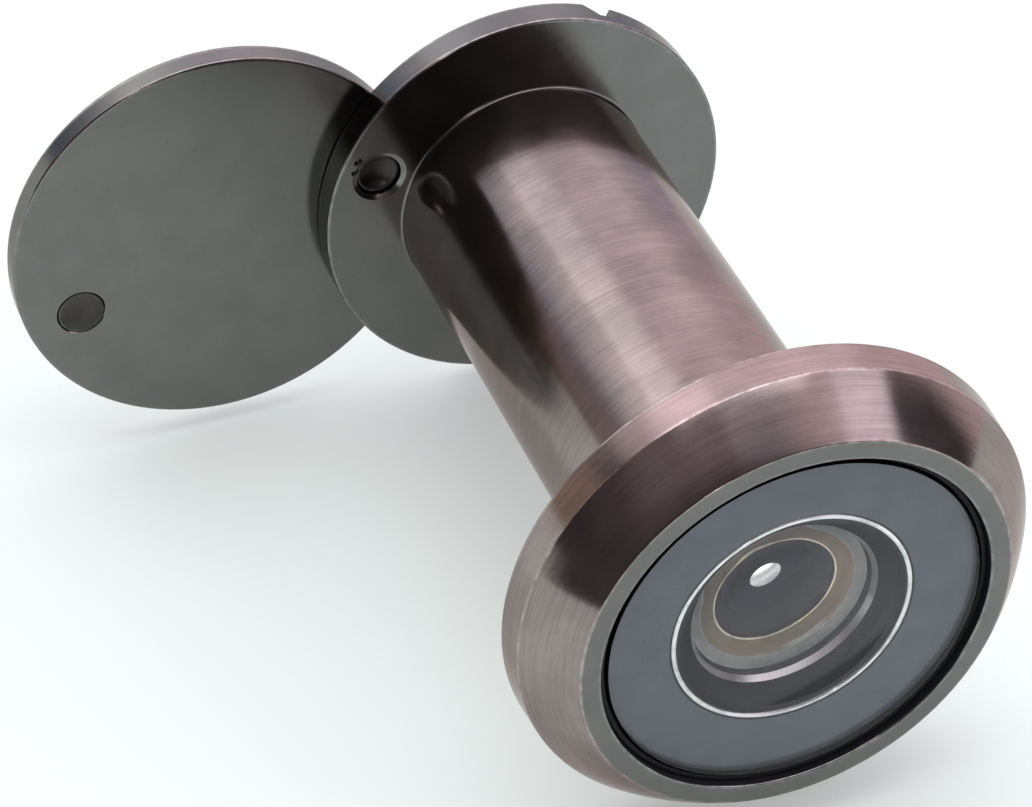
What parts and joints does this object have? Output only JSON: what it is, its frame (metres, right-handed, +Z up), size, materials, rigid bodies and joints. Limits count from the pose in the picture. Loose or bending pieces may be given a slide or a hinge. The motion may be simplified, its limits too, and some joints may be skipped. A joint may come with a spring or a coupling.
{
  "type": "door viewer",
  "caption": "Wide-angle door viewer: bevelled round head with a big lens, plain tube that screws over the barrel to grip the door, and a swinging round cover on the room side.",
  "frame": {"origin": "on the viewer's axis, in the plane where the back of the bezel meets the door's street face", "axes": "+Y along the viewer's axis, from the street side (objective lens) to the room side (eyepiece); +Z up; the open cover is towards -X"},
  "size_m": [0.0461, 0.0471, 0.0298],
  "materials": {
    "barrel_copper": "antique copper plate, satin turned",
    "sleeve_copper": "antique copper plate, satin turned",
    "cover_copper": "antique copper plate, fine matt",
    "knob_copper": "antique copper plate, satin",
    "rivet_copper": "dark antique copper",
    "lens_glass": "polished clear glass",
    "gasket_black": "matt black",
    "stop_black": "matt black",
    "spacer_aluminium": "bright turned rim, blackened inside",
    "spacer_brass": "bare turned",
    "retainer_brass": "bare turned",
    "washer_steel": "spring steel"
  },
  "bodies": {
    "barrel": {"outer_barrel": "barrel_copper", "lens_gasket": "gasket_black", "objective_lens": "lens_glass", "front_spacer": "spacer_aluminium", "second_lens": "lens_glass", "rear_spacer": "spacer_brass", "third_lens": "lens_glass", "field_stop": "stop_black"},
    "eyepiece": {"eyepiece_lens": "lens_glass"},
    "sleeve": {"inner_sleeve": "sleeve_copper", "eyepiece_retainer": "retainer_brass", "pivot_rivet": "rivet_copper", "wave_washer": "washer_steel"},
    "cover": {"cover": "cover_copper", "cover_knob": "knob_copper"}
  },
  "joints": [
    {"name": "sleeve_travel", "type": "slide", "parent": "barrel", "child": "eyepiece", "axis": [0, 1, 0], "range_m": [0, 0.025]},
    {"name": "sleeve_turn", "type": "hinge", "parent": "eyepiece", "child": "sleeve", "pos_m": [0, 0.0353, 0], "axis": [0, 1, 0], "range_deg": [0, 9000]},
    {"name": "cover_swing", "type": "hinge", "parent": "sleeve", "child": "cover", "pos_m": [-0.00918, 0.038, 0.00396], "axis": [0, 1, 0], "continuous": true}
  ],
  "couplings": [
    {"joint": "sleeve_travel", "follows": "sleeve_turn", "m_per_rad": 0.00015915}
  ]
}
